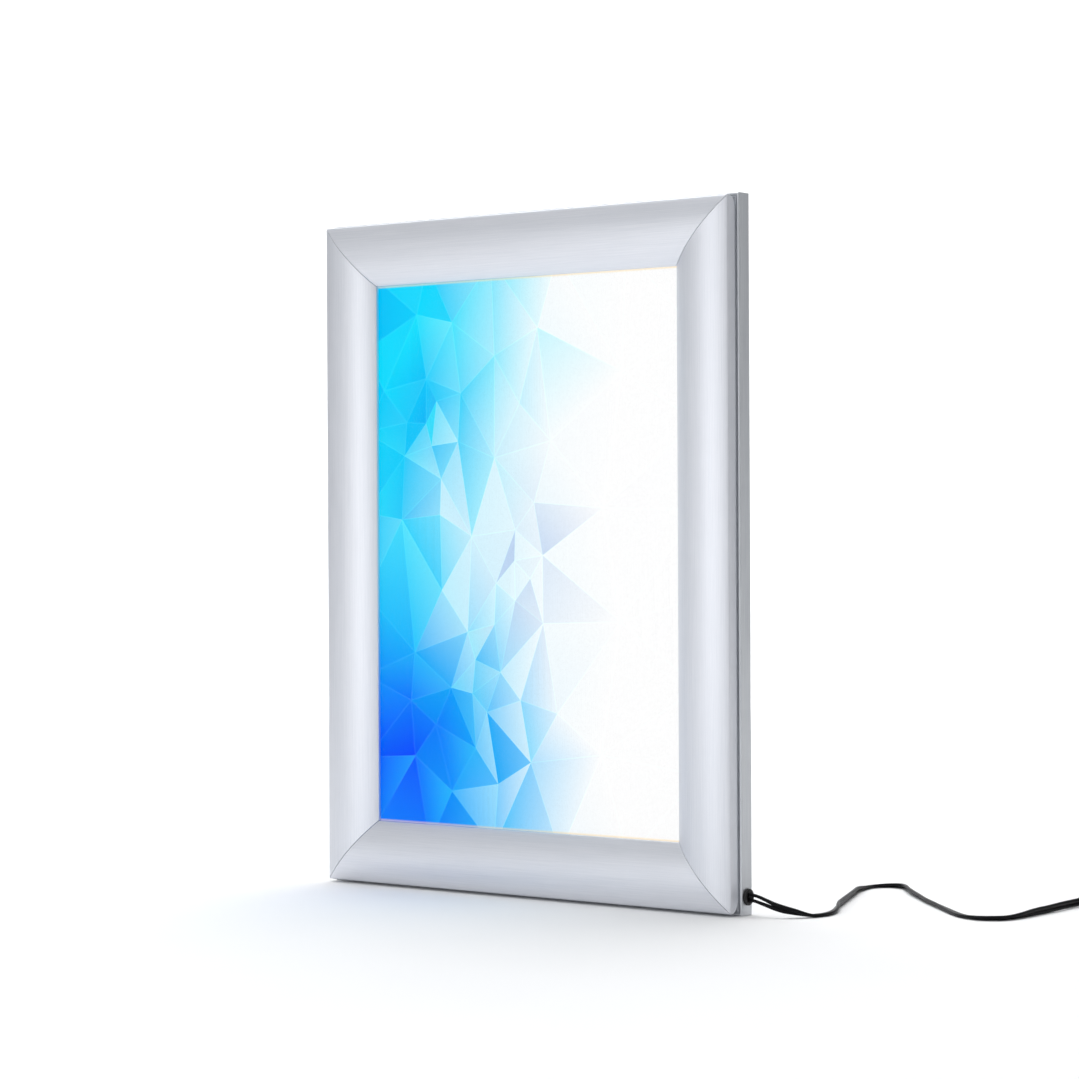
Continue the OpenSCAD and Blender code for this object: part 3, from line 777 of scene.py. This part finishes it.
class Finish:
    """A Principled material with the few node steps that the finishes below share."""

    def __init__(self, name, **sockets):
        self.material = bpy.data.materials.new(name)
        self.material.use_nodes = True
        self.tree = self.material.node_tree
        self.shader = self.tree.nodes["Principled BSDF"]
        self.place = self.node("TexCoord", {}).outputs["Object"]
        for socket, value in sockets.items():
            self.shader.inputs[socket.replace("_", " ")].default_value = value

    def node(self, kind, inputs, **settings):
        return add_node(self.tree, "ShaderNode" + kind, inputs, **settings)

    def stretched(self, scale):
        return self.node("Mapping", {"Scale": scale, "Vector": self.place}).outputs["Vector"]

    def noise(self, scale=(1, 1, 1), size=400, detail=3, roughness=0.55):
        inputs = {"Scale": size, "Detail": detail, "Roughness": roughness}
        inputs["Vector"] = self.stretched(scale)
        return self.node("TexNoise", inputs).outputs["Fac"]

    def ramp(self, value, dark, light, low=0.3, high=0.7):
        node = self.node("ValToRGB", {"Fac": value})
        first, second = node.color_ramp.elements
        first.position, second.position = low, high
        first.color, second.color = (*dark, 1), (*light, 1)
        return node.outputs["Color"]

    def level(self, value, low, high, start=0.3, end=0.7):
        inputs = {"From Min": start, "From Max": end, "To Min": low, "To Max": high, "Value": value}
        return self.node("MapRange", inputs).outputs["Result"]

    def maths(self, operation, value, other=0.0):
        return self.node("Math", {0: value, 1: other}, operation=operation).outputs["Value"]

    def mixed(self, factor, a, b, blend_type="MIX"):
        inputs = {"Factor": factor, "A": a, "B": b}
        return self.node("Mix", inputs, data_type="RGBA", blend_type=blend_type).outputs["Result"]

    def bump(self, value, strength, distance):
        node = self.node("Bump", {"Strength": strength, "Distance": distance, "Height": value})
        self.into(node.outputs["Normal"], "Normal")

    def into(self, output, *sockets):
        for socket in sockets:
            self.tree.links.new(output, self.shader.inputs[socket])


def grained(name, dark, light, rough, bump, size, sockets=None):
    """A finish with uneven colour, roughness and surface from one noise."""
    finish = Finish(name, **(sockets or {}))
    grain = finish.noise(size=size)
    finish.into(finish.ramp(grain, to_linear(dark), to_linear(light)), "Base Color")
    finish.into(finish.level(grain, *rough), "Roughness")
    finish.bump(grain, bump, 0.1 * MM)
    return finish.material


def brushed(name, along, dark, light, rough):
    """Anodised aluminium with fine lines along the extrusion and broad clouding."""
    finish = Finish(name, Metallic=0.9, Specular_IOR_Level=0.5)
    fine = [LINE_STRETCH if axis == along else 1.0 for axis in "xyz"]
    broad = [LINE_STRETCH if axis == along else 0.4 for axis in "xyz"]
    lines = finish.noise(fine, size=2600, detail=4, roughness=0.7)
    clouds = finish.noise(broad, size=160, detail=2)
    tone = finish.ramp(lines, to_linear(dark), to_linear(light))
    cloud_tone = finish.ramp(clouds, (0.86, 0.87, 0.89), (1, 1, 1))
    finish.into(finish.mixed(0.30, tone, cloud_tone, "MULTIPLY"), "Base Color")
    finish.into(finish.level(lines, *rough), "Roughness")
    finish.bump(lines, 0.07, 0.03 * MM)
    return finish.material


WINDOW_HALF = HOUSE_H / 2 - RAIL_IN * MM
# Width and colour of the painted warm glow line along the window's top and bottom edges.
GLOW_WIDE = 1.0 * MM
WARM_GLOW_COLOUR = (1.0, 0.72, 0.30, 1)
SEAM_WIDE = 0.35 * MM
SEAM = (0.20, 0.80, 0.50, 1)
LIT = 0.95
UNLIT = (0.12, 0.12, 0.12, 1)  # the share of the print's colour that room light shows


def facet_edges(finish, colour):
    """Adds a fine, slightly lighter line along the edges of the facets."""
    edge = finish.node("Attribute", {}, attribute_name="edge_distance").outputs["Vector"]
    x, y, z = finish.node("SeparateXYZ", {"Vector": edge}).outputs
    nearest = finish.maths("MINIMUM", finish.maths("MINIMUM", x, y), z)
    return finish.mixed(finish.level(nearest, 0.13, 0.0, 0.0, SEAM_WIDE), colour, SEAM, "ADD")


def painted_warm_glow_lines(finish, colour):
    """Mixes in a thin line of painted warm glow at the window's top and bottom."""
    height = finish.node("SeparateXYZ", {"Vector": finish.place}).outputs["Z"]
    from_middle = finish.maths("ABSOLUTE", finish.maths("SUBTRACT", height, MIDDLE_Z))
    from_edge = finish.maths("ABSOLUTE", finish.maths("SUBTRACT", from_middle, WINDOW_HALF))
    return finish.mixed(finish.level(from_edge, 0.55, 0.0, 0.0, GLOW_WIDE), colour, WARM_GLOW_COLOUR)


def printed_film():
    """Backlit print: flat facets of colour, lit from behind."""
    finish = Finish("printed_film", Roughness=0.5, Specular_IOR_Level=0.03, Emission_Strength=LIT)
    facets = finish.node("Attribute", {}, attribute_name="facet_colour").outputs["Color"]
    # The facets' print, with a painted warm glow line added at the window's top and bottom.
    printed = painted_warm_glow_lines(finish, facet_edges(finish, facets))
    weave = finish.ramp(finish.noise(size=900), (0.965, 0.965, 0.965), (1, 1, 1))
    toned = finish.mixed(1.0, printed, weave, "MULTIPLY")
    finish.into(toned, "Emission Color")
    finish.into(finish.mixed(1.0, toned, UNLIT, "MULTIPLY"), "Base Color")
    return finish.material


def clear_sheet():
    """Thin clear cover: nearly invisible, with a soft sheen."""
    finish = Finish("clear_sheet", Base_Color=(0.10, 0.11, 0.12, 1))
    grain = finish.noise(size=700)
    finish.into(finish.level(grain, 0.18, 0.26), "Roughness")
    finish.into(finish.level(grain, 0.03, 0.045), "Alpha")
    return finish.material


def lit(name, dark, light, strength):
    """A surface that the sign's own light makes glow."""
    finish = Finish(name, Roughness=0.5, Emission_Strength=strength)
    grain = finish.ramp(finish.noise(size=600), to_linear(dark), to_linear(light))
    finish.into(grain, "Base Color", "Emission Color")
    return finish.material


def dotted_acrylic():
    """Edge-lit plate with a fine dot pattern that brings its light out."""
    finish = Finish("dotted_acrylic", Roughness=0.12, IOR=1.49, Emission_Strength=0.25)
    inputs = {"Scale": 420, "Randomness": 0.15, "Vector": finish.stretched((1, 1, 1))}
    dots = finish.node("TexVoronoi", inputs).outputs["Distance"]
    colour = finish.ramp(dots, (1, 1, 1), (0.60, 0.80, 0.84), 0.30, 0.38)
    finish.into(colour, "Base Color", "Emission Color")
    return finish.material


def jacket():
    """Black lead jacket with a fine grain."""
    finish = Finish("lead_jacket", Specular_IOR_Level=0.08)
    grain = finish.noise(size=1500)
    finish.into(finish.ramp(grain, (0.004, 0.004, 0.005), (0.009, 0.009, 0.010)), "Base Color")
    finish.into(finish.level(grain, 0.28, 0.42), "Roughness")
    finish.bump(grain, 0.12, 0.04 * MM)
    return finish.material


def woven_strap():
    """Woven strap: rows of raised thread, slightly uneven."""
    finish = Finish("woven_strap", Roughness=0.85)
    inputs = {"Scale": 900, "Distortion": 1.5, "Vector": finish.stretched((1, 1, 1))}
    thread = finish.node("TexWave", inputs).outputs["Fac"]
    colour = finish.ramp(thread, (0.008, 0.008, 0.010), (0.035, 0.035, 0.04), 0.2, 0.8)
    finish.into(colour, "Base Color")
    finish.bump(thread, 0.5, 0.1 * MM)
    return finish.material


SILVER = ((0.87, 0.88, 0.905), (0.915, 0.92, 0.94))
HOUSING = ((0.79, 0.80, 0.82), (0.86, 0.87, 0.88))
METAL = {"Metallic": 0.95}
MATERIALS = {
    "rail_x": brushed("front_silver_x", "x", *SILVER, (0.46, 0.54)),
    "rail_z": brushed("front_silver_z", "z", *SILVER, (0.46, 0.54)),
    "housing_x": brushed("housing_silver_x", "x", *HOUSING, (0.38, 0.5)),
    "housing_z": brushed("housing_silver_z", "z", *HOUSING, (0.38, 0.5)),
    "film": lit("white_film", (0.93, 0.94, 0.95), (0.98, 0.98, 0.98), 0.15),
    "opal": lit("opal_plastic", (0.93, 0.95, 0.96), (0.97, 0.98, 0.99), 0.35),
    "led": lit("led_phosphor", (0.97, 0.88, 0.55), (1.0, 0.94, 0.70), 1.2),
    "acrylic": dotted_acrylic(),
    "print": printed_film(),
    "cover": clear_sheet(),
    "jacket": jacket(),
    "strap": woven_strap(),
}
# Name, darker colour, lighter colour, roughness, bump, grain's size, other values.
GRAINED = {
    "spring": ("blued_spring", (0.28, 0.31, 0.38), (0.42, 0.45, 0.50), (0.28, 0.42), 0.1, 400, METAL),
    "zinc": ("zinc_plate", (0.60, 0.61, 0.60), (0.78, 0.79, 0.78), (0.28, 0.45), 0.15, 700, METAL),
    "oxide": ("black_oxide", (0.05, 0.05, 0.06), (0.12, 0.12, 0.13), (0.35, 0.55), 0.1, 400,
              {"Metallic": 0.7}),
    "paint": ("panel_powder_coat", (0.84, 0.85, 0.86), (0.89, 0.90, 0.91), (0.55, 0.7), 0.25, 1800),
    "bar": ("bar_solder_mask", (0.88, 0.88, 0.86), (0.94, 0.94, 0.92), (0.35, 0.5), 0.1, 400),
    "rubber": ("black_rubber", (0.06, 0.06, 0.065), (0.10, 0.10, 0.105), (0.5, 0.65), 0.25, 1500),
    "nylon": ("nylon", (0.84, 0.83, 0.77), (0.90, 0.89, 0.84), (0.45, 0.6), 0.1, 400,
              {"Subsurface_Weight": 0.1}),
    "board": ("green_solder_mask", (0.03, 0.27, 0.13), (0.06, 0.36, 0.18), (0.3, 0.45), 0.2, 900),
    "terminal": ("terminal_plastic", (0.08, 0.38, 0.17), (0.12, 0.46, 0.22), (0.3, 0.42), 0.1, 400),
    "wire": ("wire_red", (0.58, 0.03, 0.03), (0.74, 0.07, 0.06), (0.3, 0.42), 0.1, 400),
    "plug": ("plug_plastic", (0.07, 0.07, 0.075), (0.11, 0.11, 0.115), (0.42, 0.58), 0.3, 2200),
    "nickel": ("nickel_plate", (0.78, 0.76, 0.71), (0.88, 0.86, 0.81), (0.12, 0.22), 0.05, 400,
               {"Metallic": 1.0}),
}
for key, row in GRAINED.items():
    MATERIALS[key] = grained(*row)
CAD_FINISHES = {
    "zinc": ("corner_keys", "panel_screws", "clamp_screw"),
    "oxide": ("key_screws",),
    "paint": ("back_panel",),
    "film": ("reflector_sheet",),
    "acrylic": ("light_guide",),
    "opal": ("diffuser_sheet",),
    "cover": ("cover_sheet",),
    "bar": ("led_bar_right", "led_bar_left"),
    "led": ("leds_right", "leds_left"),
    "jacket": ("lead_neck", "lead_inner"),
    "nylon": ("cable_clamp",),
    "board": ("terminal_board",),
    "terminal": ("terminal_block",),
    "wire": ("feed_wire", "link_wire"),
    "spring": tuple("springs_" + s for s in SIDES),
    "housing_x": ("base_rail_top", "base_rail_bottom"),
    "housing_z": ("base_rail_right", "base_rail_left"),
}


def wear(piece, key):
    piece.data.materials.clear()
    piece.data.materials.append(MATERIALS[key])


for key, nodes in CAD_FINISHES.items():
    for node in nodes:
        wear(frame["nodes"][node], key)
for side, rail in enumerate(rails):
    wear(rail, "rail_x" if side % 2 == 0 else "rail_z")
for piece, key in ((printed, "print"), (lead, "jacket"), (grommet, "rubber"), (relief, "plug"),
                   (plug_body, "plug"), (insulator, "plug"), (barrel, "nickel"), (tie, "strap")):
    wear(piece, key)

# ---- stage and light ------------------------------------------------------

# The floor in metres, before it turns to face the camera: its near and far ends, the round rise
# at its far end, the backdrop's height and half its width.
FLOOR_NEAR, FLOOR_FAR, FLOOR_RISE, BACKDROP_H, FLOOR_HALF_W = -14.0, 4.0, 1.5, 6.0, 12.0
RISE_STEPS = 16
# The sky's light, and how it changes in the direction of +X, +Y and +Z.
SKY_LEVEL = 0.61
SKY_FALL = (-0.24, 0.0, -0.26)
# Each light's place, the point it faces, its two sides and its power in watts.
LIGHTS = {
    "key": ((-0.05, -1.0, 0.20), (0, 0, 0.17), (0.7, 0.7), 2.1),
    "wash": ((-0.7, 1.1, 2.7), (0.1, 0.4, 0), (3.0, 3.0), 76),
    "floor_fill": ((0.8, -0.6, 2.2), (0.1, -0.2, 0), (1.6, 1.6), 9),
    "backdrop_wash": ((-1.0, 0.8, 0.9), (-2.2, 3.4, 1.2), (2.0, 1.0), 45),
}


def make_floor():
    """Pale floor that curves up into a backdrop far behind the sign."""
    start = FLOOR_FAR - FLOOR_RISE
    profile = [(FLOOR_NEAR, 0.0), (start, 0.0)]
    for i in range(1, RISE_STEPS + 1):
        a = math.pi / 2 * i / RISE_STEPS
        profile.append((start + FLOOR_RISE * math.sin(a), FLOOR_RISE - FLOOR_RISE * math.cos(a)))
    profile.append((FLOOR_FAR, BACKDROP_H))
    turn = Matrix.Rotation(CAMERA_YAW, 3, "Z")
    points = [turn @ Vector((x, y, z)) for y, z in profile for x in (-FLOOR_HALF_W, FLOOR_HALF_W)]
    faces = [(2 * i, 2 * i + 1, 2 * i + 3, 2 * i + 2) for i in range(len(profile) - 1)]
    floor = mesh_object("studio_floor", points, faces)
    paper = grained("floor_paper", (0.955, 0.957, 0.96), (0.97, 0.97, 0.972), (0.85, 0.95), 0.02, 3)
    floor.data.materials.append(paper)


def area_light(name, place, aim, size, power):
    light = bpy.data.lights.new(name, "AREA")
    light.shape = "RECTANGLE"
    light.size, light.size_y = size
    light.energy = power
    lamp = bpy.data.objects.new(name, light)
    bpy.context.scene.collection.objects.link(lamp)
    lamp.location = place
    lamp.rotation_mode = "QUATERNION"
    lamp.rotation_quaternion = (Vector(aim) - Vector(place)).to_track_quat("-Z", "Y")


def make_world():
    """Soft light from all round, weaker from above and from the right."""
    world = bpy.data.worlds.new("studio")
    world.use_nodes = True
    tree = world.node_tree
    way = add_node(tree, "ShaderNodeTexCoord", {}).outputs["Generated"]
    inputs = {0: way, 1: SKY_FALL}
    fall = add_node(tree, "ShaderNodeVectorMath", inputs, operation="DOT_PRODUCT").outputs["Value"]
    level = add_node(tree, "ShaderNodeMath", {0: fall, 1: SKY_LEVEL}).outputs["Value"]
    sky = tree.nodes["Background"]
    sky.inputs["Color"].default_value = (0.97, 0.985, 1.0, 1)
    tree.links.new(level, sky.inputs["Strength"])
    bpy.context.scene.world = world


make_floor()
make_world()
for name, placing in LIGHTS.items():
    area_light(name, *placing)
bpy.context.scene.view_settings.view_transform = "Standard"
